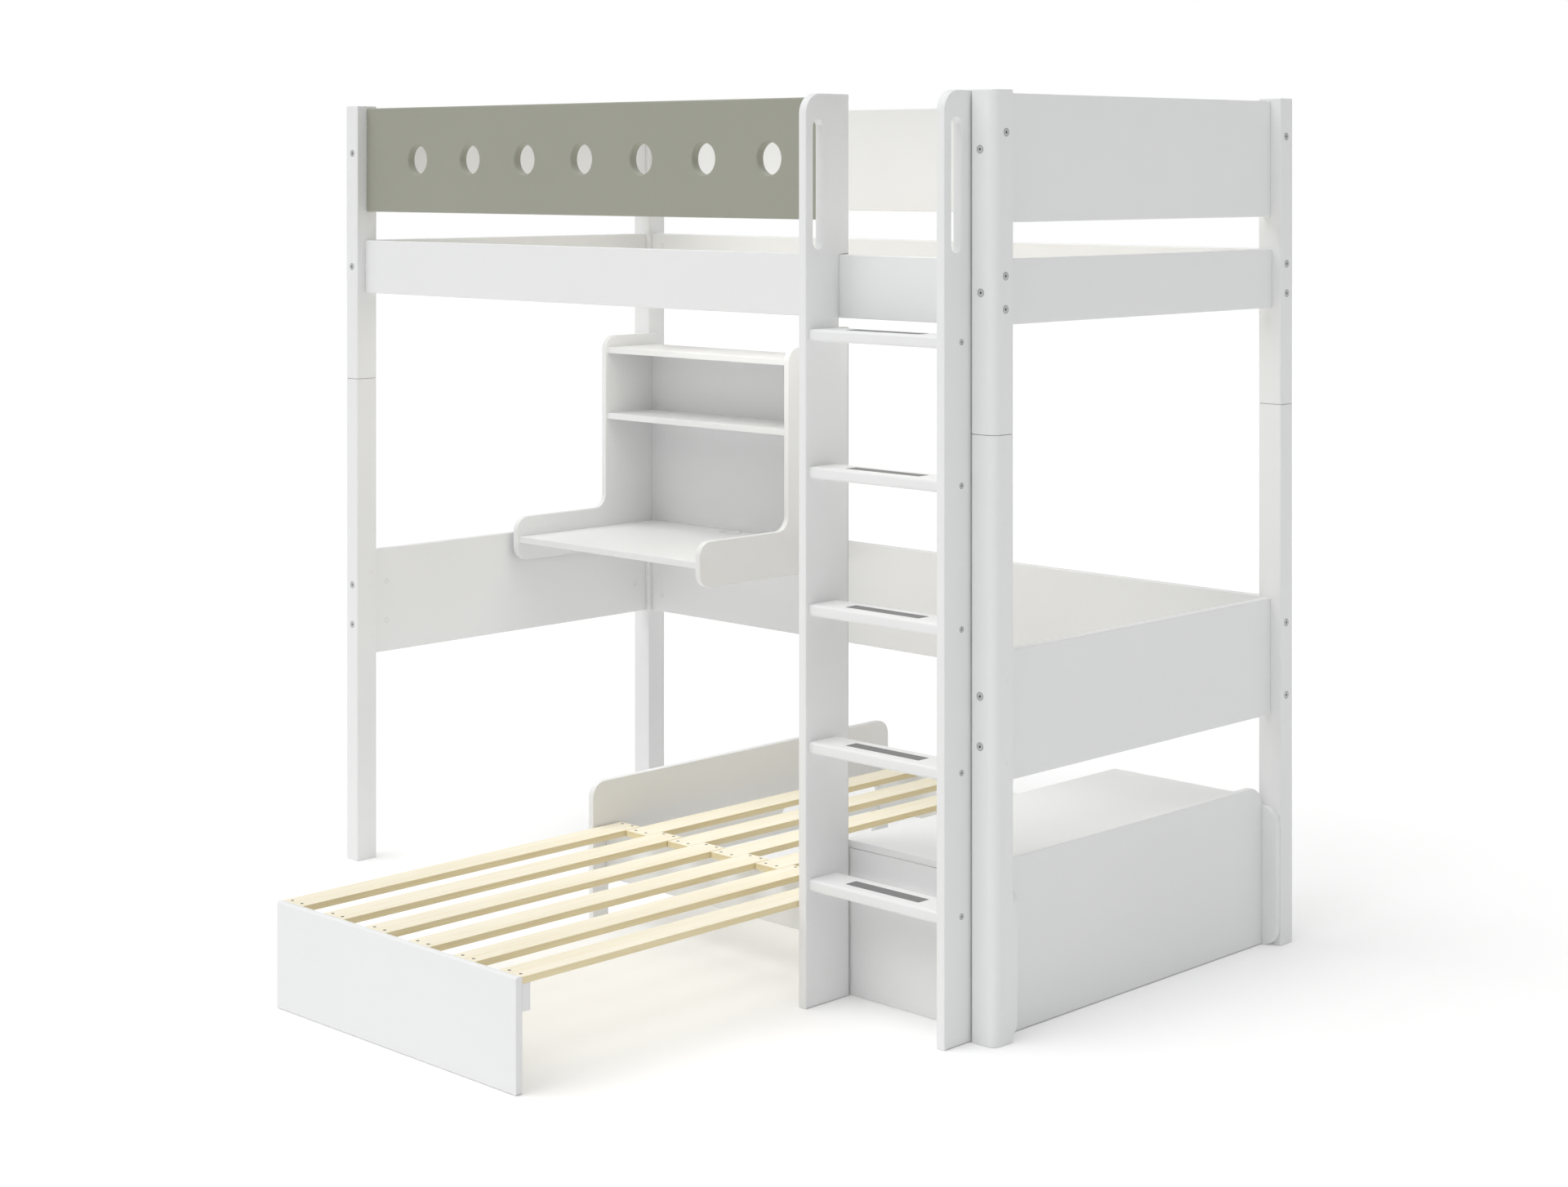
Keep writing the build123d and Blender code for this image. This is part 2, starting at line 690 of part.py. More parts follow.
def hinge_leaves(name, x_dir, z_dir):
    """One leaf of every hinge, with its knuckle on the local +Z half of the pin."""
    with BuildPart() as leaves:
        for y in hinge_places:
            middle = Plane((hinge_x, y, hinge_z), x_dir=x_dir, z_dir=z_dir)
            with BuildSketch(middle.offset(knuckle_gap / 2)):
                Circle(knuckle_radius)
                with Locations((knuckle_radius, 0)):
                    Rectangle(leaf_thickness, knuckle_radius + knuckle_gap, align=(Align.MAX, Align.MIN))
                Circle(pin_radius + pin_clearance, mode=Mode.SUBTRACT)
            extrude(amount=knuckle_length)
            with BuildSketch(middle):
                with Locations((knuckle_radius, knuckle_radius + knuckle_gap)):
                    Rectangle(leaf_thickness, leaf_width, align=(Align.MAX, Align.MIN))
            extrude(amount=hinge_length / 2, both=True)
    save(leaves, name)


hinge_leaves("hinge_fixed_leaves", (1, 0, 0), (0, -1, 0))
hinge_leaves("hinge_lid_leaves", (0, 0, -1), (0, 1, 0))
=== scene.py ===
import json
import math

import bpy
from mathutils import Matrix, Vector
from mathutils.geometry import tessellate_polygon

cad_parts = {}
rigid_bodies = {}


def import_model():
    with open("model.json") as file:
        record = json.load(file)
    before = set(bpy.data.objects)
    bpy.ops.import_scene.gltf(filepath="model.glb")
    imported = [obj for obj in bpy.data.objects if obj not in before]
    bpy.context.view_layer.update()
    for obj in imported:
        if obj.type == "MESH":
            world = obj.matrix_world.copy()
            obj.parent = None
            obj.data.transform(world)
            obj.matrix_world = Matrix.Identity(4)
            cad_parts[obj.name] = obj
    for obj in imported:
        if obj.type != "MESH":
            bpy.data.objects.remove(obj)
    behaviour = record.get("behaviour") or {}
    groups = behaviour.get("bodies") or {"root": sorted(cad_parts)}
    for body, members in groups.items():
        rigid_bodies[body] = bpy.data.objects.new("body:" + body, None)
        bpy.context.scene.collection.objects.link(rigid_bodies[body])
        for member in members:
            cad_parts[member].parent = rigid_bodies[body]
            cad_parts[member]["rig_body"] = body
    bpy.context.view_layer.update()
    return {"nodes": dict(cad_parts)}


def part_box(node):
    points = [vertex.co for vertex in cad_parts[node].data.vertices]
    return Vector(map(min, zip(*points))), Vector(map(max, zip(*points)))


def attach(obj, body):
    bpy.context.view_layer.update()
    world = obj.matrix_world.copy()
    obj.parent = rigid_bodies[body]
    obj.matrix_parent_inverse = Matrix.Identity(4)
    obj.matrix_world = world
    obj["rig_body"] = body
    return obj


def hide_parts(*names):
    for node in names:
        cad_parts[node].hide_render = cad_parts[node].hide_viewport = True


# A loft bed with a ladder, a hanging desk, a sofa bed and a chest.
# Sizes below are in mm unless a comment says otherwise, and MM turns them into the frame's metres.
MM = 0.001

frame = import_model()
NODES = frame["nodes"]

# Sockets of the Mix node when it mixes colours
MIX_A, MIX_B, MIX_RESULT = 6, 7, 2
PURE_WHITE = (1.0, 1.0, 1.0)


# Materials
def new_material(name):
    mat = bpy.data.materials.new(name)
    mat.use_nodes = True
    tree = mat.node_tree
    return mat, tree, tree.nodes["Principled BSDF"]


def node(tree, kind, values=None, **settings):
    made = tree.nodes.new(kind)
    for key, value in settings.items():
        setattr(made, key, value)
    for key, value in (values or {}).items():
        made.inputs[key].default_value = value
    return made


def stretched(tree, scale):
    """Object coordinates, scaled along each axis."""
    place = node(tree, "ShaderNodeTexCoord")
    mapping = node(tree, "ShaderNodeMapping", {"Scale": scale})
    tree.links.new(place.outputs["Object"], mapping.inputs["Vector"])
    return mapping.outputs["Vector"]


def noise(tree, vector, scale, detail=2.0, rough=0.5, distort=0.0):
    values = {"Scale": scale, "Detail": detail, "Roughness": rough, "Distortion": distort}
    made = node(tree, "ShaderNodeTexNoise", values)
    tree.links.new(vector, made.inputs["Vector"])
    return made.outputs["Fac"]


def ramp(tree, fac, stops):
    """A colour for each value, from (position, colour) stops."""
    made = node(tree, "ShaderNodeValToRGB")
    elements = made.color_ramp.elements
    while len(elements) < len(stops):
        elements.new(0.5)
    for element, (place, colour) in zip(elements, stops):
        element.position = place
        element.color = (*colour, 1)
    tree.links.new(fac, made.inputs["Fac"])
    return made.outputs["Color"]


def spread(tree, fac, low, high):
    """A value from 0 to 1, brought between low and high."""
    made = node(tree, "ShaderNodeMapRange", {"To Min": low, "To Max": high})
    tree.links.new(fac, made.inputs["Value"])
    return made.outputs["Result"]


def multiplied(tree, colour, factor):
    made = node(tree, "ShaderNodeMix", data_type="RGBA", blend_type="MULTIPLY")
    made.inputs["Factor"].default_value = 1.0
    tree.links.new(colour, made.inputs[MIX_A])
    tree.links.new(factor, made.inputs[MIX_B])
    return made.outputs[MIX_RESULT]


def bump(tree, shader, height, distance, strength):
    """Surface relief; distance is in metres."""
    made = node(tree, "ShaderNodeBump", {"Distance": distance, "Strength": strength})
    tree.links.new(height, made.inputs["Height"])
    tree.links.new(made.outputs["Normal"], shader.inputs["Normal"])


def paint(name, colour, lift, rough):
    """Sprayed lacquer: a faint mottle in the colour and a fine orange-peel skin."""
    mat, tree, shader = new_material(name)
    flat = stretched(tree, (1, 1, 1))
    low = tuple(c * (1 - lift) for c in colour)
    mottle = ramp(tree, noise(tree, flat, 3.0, 3.0), [(0.3, low), (0.7, colour)])
    sheen = spread(tree, noise(tree, flat, 14.0), rough - 0.05, rough + 0.05)
    tree.links.new(mottle, shader.inputs["Base Color"])
    tree.links.new(sheen, shader.inputs["Roughness"])
    shader.inputs["Specular IOR Level"].default_value = 0.35
    bump(tree, shader, noise(tree, flat, 420.0, 2.0), 0.00012, 0.35)
    return mat


def wood(name, tones):
    """Planed pale softwood with its grain along the slats, which run from front to back."""
    mat, tree, shader = new_material(name)
    rings = noise(tree, stretched(tree, (46, 1.1, 46)), 1.6, 4.0, 0.6, 0.6)
    fibres = noise(tree, stretched(tree, (520, 7, 520)), 1.0, 2.0)
    boards = noise(tree, stretched(tree, (14.6, 0.25, 0.25)), 1.0, 0.0)
    grain = ramp(tree, rings, list(zip((0.30, 0.50, 0.62, 0.75), tones)))
    tint = ramp(tree, boards, [(0.35, (0.97, 0.96, 0.93)), (0.65, PURE_WHITE)])
    streak = ramp(tree, fibres, [(0.30, (0.94, 0.92, 0.88)), (0.55, PURE_WHITE)])
    # Faces that don't look up or down are painted darker and warmer: painted shade on the slats'
    # sides
    place = node(tree, "ShaderNodeTexCoord")
    split = node(tree, "ShaderNodeSeparateXYZ")
    tree.links.new(place.outputs["Normal"], split.inputs["Vector"])
    upright = node(tree, "ShaderNodeMath", operation="ABSOLUTE")
    tree.links.new(split.outputs["Z"], upright.inputs[0])
    side = ramp(tree, upright.outputs["Value"], [(0.3, (0.93, 0.86, 0.67)), (0.8, PURE_WHITE)])
    colour = grain
    for factor in (tint, streak, side):
        colour = multiplied(tree, colour, factor)
    tree.links.new(colour, shader.inputs["Base Color"])
    tree.links.new(spread(tree, fibres, 0.5, 0.68), shader.inputs["Roughness"])
    shader.inputs["Specular IOR Level"].default_value = 0.3
    bump(tree, shader, fibres, 0.0002, 0.4)
    return mat


def grained(name, colour, lift, scale, depth, rough, metal=0.0):
    """A fine-grained surface, used for rubber, plastic and metal. Depth is in metres."""
    mat, tree, shader = new_material(name)
    grain = noise(tree, stretched(tree, (1, 1, 1)), scale, 3.0)
    low = tuple(c * (1 - lift) for c in colour)
    tree.links.new(ramp(tree, grain, [(0.35, low), (0.65, colour)]), shader.inputs["Base Color"])
    tree.links.new(spread(tree, grain, rough - 0.07, rough + 0.07), shader.inputs["Roughness"])
    shader.inputs["Metallic"].default_value = metal
    bump(tree, shader, grain, depth, 0.5)
    return mat


WHITE = paint("white_lacquer", (0.855, 0.86, 0.86), 0.012, 0.42)
SAGE = paint("sage_lacquer", (0.352, 0.355, 0.296), 0.03, 0.45)
WOOD = wood("pale_softwood", [
    (0.89, 0.82, 0.65), (0.93, 0.88, 0.74), (0.90, 0.83, 0.66), (0.94, 0.90, 0.77),
])
WHITE_WOOD = wood("washed_softwood", [
    (0.86, 0.83, 0.74), (0.90, 0.88, 0.81), (0.87, 0.84, 0.75), (0.91, 0.89, 0.82),
])
RUBBER = grained("grip_strip", (0.235, 0.235, 0.24), 0.25, 900.0, 0.0003, 0.75)
STEEL = grained("zinc_steel", (0.60, 0.61, 0.61), 0.15, 600.0, 0.00005, 0.42, 0.35)
SCREW = grained("dark_screw", (0.17, 0.165, 0.15), 0.3, 600.0, 0.00005, 0.55, 0.5)
# Near black for painted shade: sockets, recesses and the gaps round heads
PAINTED_SHADE = grained("socket_shadow", (0.10, 0.10, 0.105), 0.3, 500.0, 0.00005, 0.6, 0.4)
NICKEL = grained("satin_nickel", (0.62, 0.61, 0.60), 0.1, 700.0, 0.00004, 0.33, 1.0)
PLASTIC = grained("white_plastic_grain", (0.84, 0.84, 0.83), 0.02, 800.0, 0.00006, 0.45)
SEAM_SHADOW = grained("seam_shadow", (0.33, 0.33, 0.33), 0.2, 300.0, 0.00005, 0.8)

SLOT_MATERIALS = {
    "white_paint": WHITE, "sage_paint": SAGE, "bare_wood": WOOD, "grip_rubber": RUBBER,
    "bolt_steel": STEEL, "hinge_steel": NICKEL, "white_plastic": PLASTIC,
}


# Mesh code
class Form:
    """Points in metres and faces gathered for one piece. A face's mark picks its material."""

    def __init__(self):
        self.points = []
        self.faces = []
        self.marks = []

    def add(self, points, faces, mark=0):
        start = len(self.points)
        self.points += [tuple(p) for p in points]
        self.faces += [tuple(start + i for i in f) for f in faces]
        self.marks += [mark] * len(faces)


def turned(loop, wanted):
    """The loop's points in the wanted direction: True runs counter-clockwise."""
    area = sum(a[0] * b[1] - b[0] * a[1] for a, b in zip(loop, loop[1:] + loop[:1]))
    return loop if (area > 0) == wanted else loop[::-1]


def inset(loop, amount):
    """The loop moved to its left by amount, with mitred corners."""
    count = len(loop)
    moved = []
    for i, (x, y) in enumerate(loop):
        px, py = loop[i - 1]
        nx, ny = loop[(i + 1) % count]
        a, b = math.hypot(x - px, y - py), math.hypot(nx - x, ny - y)
        one = (-(y - py) / a, (x - px) / a)
        two = (-(ny - y) / b, (nx - x) / b)
        share = amount / (1 + one[0] * two[0] + one[1] * two[1])
        moved.append((x + (one[0] + two[0]) * share, y + (one[1] + two[1]) * share))
    return moved


# Places a point (u, v) across an axis and w along it
PLACES = {
    "x": lambda u, v, w: (w, u, v),
    "y": lambda u, v, w: (u, w, v),
    "z": lambda u, v, w: (u, v, w),
}
MIRRORED = ("y",)


def edge_rings(level, edge, sign, steps):
    """The inset and the level of each ring of a quarter-round edge, from the cap to the wall."""
    rings = []
    for k in range(steps + 1):
        angle = math.pi / 2 * k / steps
        rings.append((edge * (1 - math.sin(angle)), level + sign * edge * (1 - math.cos(angle))))
    return rings


def prism(form, axis, low, high, outline, holes=(), *, edge, low_edge=None, steps=3, mark=0):
    """A solid plate with rounded edges: outline and holes are drawn across the axis."""
    place = PLACES[axis]
    loops = [turned(list(outline), True)] + [turned(list(h), False) for h in holes]
    low_edge = edge if low_edge is None else low_edge
    rings = edge_rings(low, low_edge, 1, steps) + edge_rings(high, edge, -1, steps)[::-1]
    points, faces, starts = [], [], []
    for loop in loops:
        starts.append(len(points))
        size = len(loop)
        for amount, level in rings:
            points += [place(u * MM, v * MM, level * MM) for u, v in inset(loop, amount)]
        for r in range(len(rings) - 1):
            base = starts[-1] + r * size
            above = base + size
            for i in range(size):
                j = (i + 1) % size
                faces.append((base + i, base + j, above + j, above + i))
    for ring, upward in ((0, False), (len(rings) - 1, True)):
        flat = [[Vector((u, v, 0)) for u, v in inset(loop, rings[ring][0])] for loop in loops]
        index = [
            start + ring * len(loop) + i
            for start, loop in zip(starts, loops) for i in range(len(loop))
        ]
        corners = [p for loop in flat for p in loop]
        for tri in tessellate_polygon(flat):
            a, b, c = (corners[i] for i in tri)
            if ((b - a).cross(c - a).z > 0) != upward:
                tri = tri[::-1]
            faces.append(tuple(index[i] for i in tri))
    if axis in MIRRORED:
        faces = [f[::-1] for f in faces]
    form.add(points, faces, mark)


def rectangle(u0, v0, u1, v1):
    return [(u0, v0), (u1, v0), (u1, v1), (u0, v1)]


def rounded(corners, steps):
    """An outline from (u, v, radius) corners, with arcs where the radius isn't nought."""
    made = []
    count = len(corners)
    for i, (x, y, radius) in enumerate(corners):
        if not radius:
            made.append((x, y))
            continue
        px, py = corners[i - 1][:2]
        nx, ny = corners[(i + 1) % count][:2]
        back = Vector((px - x, py - y)).normalized()
        ahead = Vector((nx - x, ny - y)).normalized()
        half = back.angle(ahead) / 2
        reach = radius / math.tan(half)
        centre = Vector((x, y)) + (back + ahead).normalized() * (radius / math.sin(half))
        start = Vector((x, y)) + back * reach - centre
        end = Vector((x, y)) + ahead * reach - centre
        sweep = start.angle_signed(end)
        for k in range(steps + 1):
            turn = -sweep * k / steps
            made.append((
                centre.x + start.x * math.cos(turn) - start.y * math.sin(turn),
                centre.y + start.x * math.sin(turn) + start.y * math.cos(turn),
            ))
    return made


def rounded_box(u0, v0, u1, v1, radii, steps):
    """A rectangle whose radii start at its low corner and run counter-clockwise."""
    corners = rectangle(u0, v0, u1, v1)
    return rounded([(u, v, radius) for (u, v), radius in zip(corners, radii)], steps)


def slot_outline(u0, v0, u1, v1):
    """A long hole with round ends. The radius leaves a hair of straight edge."""
    radius = min(u1 - u0, v1 - v0) / 2 - 0.001
    return rounded_box(u0, v0, u1, v1, [radius] * 4, 10)


def circle(u, v, radius, count):
    turns = [2 * math.pi * k / count for k in range(count)]
    return [(u + radius * math.cos(t), v + radius * math.sin(t)) for t in turns]


def lathe(form, spot, outward, profile, count, mark=0):
    """A closed round form: profile is (radius, rise) from the middle outwards."""
    outward = Vector(outward).normalized()
    side = outward.orthogonal().normalized()
    other = outward.cross(side)
    base = Vector(spot) * MM
    points, faces = [], []
    for radius, rise in profile:
        for k in range(count):
            angle = 2 * math.pi * k / count
            spoke = side * math.cos(angle) + other * math.sin(angle)
            points.append(base + spoke * radius * MM + outward * rise * MM)
    for r in range(len(profile) - 1):
        near, far = r * count, (r + 1) * count
        for i in range(count):
            j = (i + 1) % count
            faces.append((near + i, far + i, far + j, near + j))
    faces.append(tuple(range(count)))
    last = (len(profile) - 1) * count
    faces.append(tuple(last + count - 1 - k for k in range(count)))
    form.add(points, faces, mark)


def bolt_head(form, spot, outward, radius=7.9):
    """A flat countersunk head with painted shade: a dark hexagon for its socket and a dark ring for
    the shadow in the gap round it.
    """
    hexagon = radius * 0.34
    disc = [
        (hexagon, 0.3), (radius - 1.4, 0.3), (radius - 0.5, 0.2), (radius, -0.1), (radius, -1.5),
    ]
    # The gap ring and the socket take mark 1: painted shade
    shadow_ring = [(radius - 0.4, 0.06), (radius + 0.35, 0.06), (radius + 0.45, -0.5)]
    socket = [(hexagon * 0.8, 0.34), (hexagon, 0.34), (hexagon * 1.1, 0.1)]
    lathe(form, spot, outward, disc, 28)
    lathe(form, spot, outward, shadow_ring, 28, 1)
    lathe(form, spot, outward, socket, 6, 1)


def screw_head(form, spot, outward, radius=3.2):
    """A small raised head with painted shade: a dark disc for its recess and a dark ring for the
    shadow in the gap round it.
    """
    disc = [(1.5, 0.25), (radius - 0.6, 0.22), (radius, 0.0), (radius, -0.5)]
    # The gap ring and the recess take mark 1: painted shade
    shadow_ring = [(radius - 0.2, 0.04), (radius + 0.35, 0.04), (radius + 0.4, -0.4)]
    recess = [(1.1, 0.3), (1.6, 0.28), (1.7, 0.1)]
    lathe(form, spot, outward, disc, 16)
    lathe(form, spot, outward, shadow_ring, 16, 1)
    lathe(form, spot, outward, recess, 8, 1)


# Corners without a rounding stay sharp, and rounded edges shade smoothly
SHARP_FROM = math.radians(40)


def piece(name, form, materials, body, replaced=()):
    mesh = bpy.data.meshes.new(name)
    mesh.from_pydata(form.points, [], form.faces)
    mesh.validate()
    for mat in materials:
        mesh.materials.append(mat)
    for face, mark in zip(mesh.polygons, form.marks):
        face.material_index = mark
        face.use_smooth = True
    mesh.set_sharp_from_angle(angle=SHARP_FROM)
    obj = bpy.data.objects.new(name, mesh)
    bpy.context.scene.collection.objects.link(obj)
    normals = obj.modifiers.new("flat_faces_stay_flat", "WEIGHTED_NORMAL")
    normals.weight = 100
    normals.keep_sharp = True
    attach(obj, body)
    if replaced:
        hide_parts(*replaced)


def dress(cad, form, slot="white_paint", extra=()):
    """One piece in the place of one CAD node, on the same body."""
    materials = [SLOT_MATERIALS[slot], *extra]
    piece(cad + "_shape", form, materials, NODES[cad]["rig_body"], [cad])


def box_of(cad):
    low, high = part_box(cad)
    return [c / MM for c in low], [c / MM for c in high]


def section_of(cad, axis):
    """The node's box across the axis: u0, v0, u1, v1."""
    low, high = box_of(cad)
    u, v = [i for i in range(3) if "xyz"[i] != axis]
    return low[u], low[v], high[u], high[v]


def span_of(cad, axis):
    """The low and the high end of the node's box along the axis."""
    low, high = box_of(cad)
    w = "xyz".index(axis)
    return low[w], high[w]


def board(cad, axis, edge, outline=None, holes=()):
    """A board in the place of a CAD node, as thick as its box along the axis."""
    form = Form()
    shape = outline or rectangle(*section_of(cad, axis))
    prism(form, axis, *span_of(cad, axis), shape, holes, edge=edge)
    dress(cad, form)


def slat_row(cad, count, width, edge, radius=0):
    """Parallel slats from front to back that fill the node's box, and the middle of each."""
    x0, z0, x1, z1 = section_of(cad, "y")
    step = (x1 - x0 - width) / (count - 1)
    form = Form()
    for k in range(count):
        a = x0 + k * step
        section = rounded_box(a, z0, a + width, z1, [radius] * 4, 3)
        prism(form, "y", *span_of(cad, "y"), section, edge=edge)
    return form, [x0 + width / 2 + k * step for k in range(count)]


# Posts: the outer corner is rounded, and a hair of shadow shows where the two lengths meet.
# The numbers count a rectangle's corners from its low one, counter-clockwise.
POST_ROUND, POST_SOFT, POST_TOP_EDGE, POST_FOOT_EDGE = 20, 2.2, 2.5, 1.6
SEAM, SEAM_DEPTH, SEAM_EDGE_BELOW, SEAM_EDGE_ABOVE = 0.5, 1.6, 0.8, 1.4
OUTER_CORNERS = {"front_left": 0, "front_right": 1, "back_left": 3, "back_right": 2}
for place, corner in OUTER_CORNERS.items():
    radii = [POST_SOFT] * 4
    radii[corner] = POST_ROUND
    for length in ("lower", "upper"):
        cad = f"{place}_{length}_post"
        outline = rounded_box(*section_of(cad, "z"), radii, 9)
        low, high = span_of(cad, "z")
        form = Form()
        if length == "upper":
            core = inset(turned(outline, True), SEAM_DEPTH)
            prism(
                form, "z", low + SEAM, high, outline,
                edge=POST_TOP_EDGE, low_edge=SEAM_EDGE_ABOVE,
            )
            prism(form, "z", low - SEAM, low + 2 * SEAM, core, edge=0.1, steps=1, mark=1)
            dress(cad, form, extra=[SEAM_SHADOW])
        else:
            prism(
                form, "z", low, high - SEAM, outline,
                edge=SEAM_EDGE_BELOW, low_edge=POST_FOOT_EDGE,
            )
            dress(cad, form)

# Rails and panels
BOARD_EDGE = 2.2
for cad in ("front_rail", "back_rail", "back_guard_panel", "back_lower_panel"):
    board(cad, "y", BOARD_EDGE)
for side in ("left", "right"):
    for kind in ("rail", "guard_panel", "lower_panel"):
        board(f"{side}_{kind}", "x", BOARD_EDGE)

# The sage guard panel: round holes with softly rounded rims on the outer face
HOLE_RADIUS, HOLE_RIM, HOLE_PITCH, HOLE_FIRST, HOLE_COUNT = 35, 4.2, 199.5, 203, 7
x0, z0, x1, z1 = section_of("front_guard_panel", "y")
holes = [
    circle(x0 + HOLE_FIRST + k * HOLE_PITCH, (z0 + z1) / 2, HOLE_RADIUS, 48)
    for k in range(HOLE_COUNT)
]
form = Form()
prism(
    form, "y", *span_of("front_guard_panel", "y"), rectangle(x0, z0, x1, z1), holes,
    edge=BOARD_EDGE, low_edge=HOLE_RIM, steps=4,
)
dress("front_guard_panel", form, "sage_paint")

# Mattress base
LEDGE = 22
y0, z0, y1, z1 = section_of("mattress_ledges", "x")
form = Form()
for a, b in ((y0, y0 + LEDGE), (y1 - LEDGE, y1)):
    prism(form, "x", *span_of("mattress_ledges", "x"), rectangle(a, z0, b, z1), edge=1)
dress("mattress_ledges", form)

MATTRESS_SLATS, MATTRESS_SLAT_WIDTH = 14, 68
form, _ = slat_row("mattress_slats", MATTRESS_SLATS, MATTRESS_SLAT_WIDTH, 1.5)
piece("mattress_slats_shape", form, [WHITE_WOOD], "frame", ["mattress_slats"])

# Ladder: each stringer has a notch over the front rail and a long slot to hold
NOTCH_LOW, NOTCH_HIGH, NOTCH_Y, STRINGER_ROUND = 1382, 1532, -85, 42
GRIP_SLOT = (-162, 1545, -134, 1809)
for cad in ("left_stringer", "right_stringer"):
    y0, z0, y1, z1 = section_of(cad, "x")
    outline = rounded([
        (y0, z0, 1.5), (y1, z0, 1.5),
        (y1, NOTCH_LOW, 1), (NOTCH_Y, NOTCH_LOW, 1), (NOTCH_Y, NOTCH_HIGH, 1), (y1, NOTCH_HIGH, 1),
        (y1, z1, 3), (y0, z1, STRINGER_ROUND),
    ], 10)
    board(cad, "x", BOARD_EDGE, outline, [slot_outline(*GRIP_SLOT)])

TREADS = [f"tread_{k + 1}" for k in range(5)]
TREAD_ROUND, STRIP_ROUND, STRIP_DEPTH, STRIP_RISE = 6, 2, 1, 0.3
for cad in TREADS:
    form = Form()
    section = rounded_box(*section_of(cad, "x"), [TREAD_ROUND] * 4, 6)
    prism(form, "x", *span_of(cad, "x"), section, edge=0.3, steps=1)
    dress(cad, form)

strip = rounded_box(*section_of("tread_strips", "z"), [STRIP_ROUND] * 4, 4)
form = Form()
for cad in TREADS:
    top = span_of(cad, "z")[1]
    prism(form, "z", top - STRIP_DEPTH, top + STRIP_RISE, strip, edge=0.25, steps=1)
dress("tread_strips", form, "grip_rubber")

# Desk
CORNER, ELBOW_Y, ELBOW_Z, SHELF_EDGE = 36, 693, 805, 1.4
for cad in ("desk_left_gable", "desk_right_gable"):
    y0, z0, y1, z1 = section_of(cad, "x")
    outline = rounded([
        (y0, z0, CORNER), (y1, z0, 1.5), (y1, z1, 1.5), (ELBOW_Y, z1, CORNER),
        (ELBOW_Y, ELBOW_Z, CORNER), (y0, ELBOW_Z, CORNER),
    ], 10)
    board(cad, "x", 1.8, outline)

GROMMET = (-637, 827.5)
GROMMET_HOLE, GROMMET_BORE, GROMMET_TUBE, GROMMET_FLANGE = 28.1, 25.5, 28, 32
GROMMET_FOOT, DESK_TOP, FLANGE_TOP = 739, 755, 756.5
board("desktop", "z", SHELF_EDGE, holes=[circle(*GROMMET, GROMMET_HOLE, 48)])
board("desk_back_panel", "y", 0.8)
board("middle_shelf", "z", SHELF_EDGE)
board("upper_shelf", "z", SHELF_EDGE)
bore = [circle(*GROMMET, GROMMET_BORE, 64)]
flange, tube = circle(*GROMMET, GROMMET_FLANGE, 64), circle(*GROMMET, GROMMET_TUBE, 64)
form = Form()
prism(form, "z", DESK_TOP, FLANGE_TOP, flange, bore, edge=0.7, low_edge=0.05)
prism(form, "z", GROMMET_FOOT, DESK_TOP, tube, bore, edge=0.05)
dress("desk_grommet", form, "white_plastic")

# Sofa bed: the side panel stands on two feet and has a slot behind
FOOT, CUT, CUT_ROUND = 47, 96, 24
SLOT_START, SLOT_END, SLOT_LOW, SLOT_HIGH = 383, 33, 118, 158
y0, _, y1, z1 = section_of("sofa_side_panel", "x")
outline = rounded([
    (y0, 0, 1), (y0 + FOOT, 0, 1), (y0 + FOOT, CUT, CUT_ROUND),
    (y1 - FOOT, CUT, CUT_ROUND), (y1 - FOOT, 0, 1), (y1, 0, 1),
    (y1, z1, CORNER), (y0, z1, CORNER),
], 10)
slot = slot_outline(y1 - SLOT_START, SLOT_LOW, y1 - SLOT_END, SLOT_HIGH)
board("sofa_side_panel", "x", 1.8, outline, [slot])
board("sofa_apron", "y", 1.2)
board("sofa_back_rail", "y", 1.2)

# The pulled slats and gaps of one slat and two clearances fill the pull-out half's width
SLAT_GAP, PULLED_SLATS, SLAT_ROUND = 1.7, 6, 1.2
x0, x1 = span_of("pullout_slats", "x")
SLAT_WIDTH = (x1 - x0 + SLAT_GAP) / (2 * PULLED_SLATS - 1) - SLAT_GAP
form, pulled_middles = slat_row("pullout_slats", PULLED_SLATS, SLAT_WIDTH, 1.0, SLAT_ROUND)
dress("pullout_slats", form, "bare_wood")
form, fixed_middles = slat_row("fixed_slats", PULLED_SLATS - 1, SLAT_WIDTH, 1.0, SLAT_ROUND)
dress("fixed_slats", form, "bare_wood")

front = rounded_box(*section_of("pullout_front", "x"), (1, 1, 5, 5), 6)
board("pullout_front", "x", 1.5, front)
board("pullout_batten", "y", 1)

# Chest: the front and back panels end in a round plate, the end panel has round top corners
PLATE_ROUND, END_ROUND = 36, 42
for cad in ("chest_front_panel", "chest_back_panel"):
    plate = rounded_box(*section_of(cad, "y"), (0, PLATE_ROUND, PLATE_ROUND, 0), 10)
    board(cad, "y", 1.6, plate)
end = rounded_box(*section_of("chest_end_panel", "x"), (1, 1, END_ROUND, END_ROUND), 10)
board("chest_end_panel", "x", 1.8, end)
board("chest_inner_panel", "x", 1.2)
board("chest_floor", "z", 0.8)
board("chest_lid", "z", 1.6)

# Where the posts' faces and the bolts through them lie
END_X, FRONT_Y, BACK_Y = 1050, -107.5, 928.5
RAIL_PAIR, RAIL_SINGLE, GUARD_HIGH, GUARD_LOW = (1434.5, 1499.5), 1467, 1780, 1747
LOWER_END_PAIR, LOWER_FACE_PAIR = (549, 709), (582, 680)
RAIL_BOLT_Y, BACK_BOLT_Y, FRONT_BOLT_Y = (-73, 894), 892, -71
RAIL_BOLT_X, PANEL_BOLT_X = 1015.5, 1013.5
LEFT, RIGHT, FORWARD, BACKWARD, UP = (-1, 0, 0), (1, 0, 0), (0, -1, 0), (0, 1, 0), (0, 0, 1)


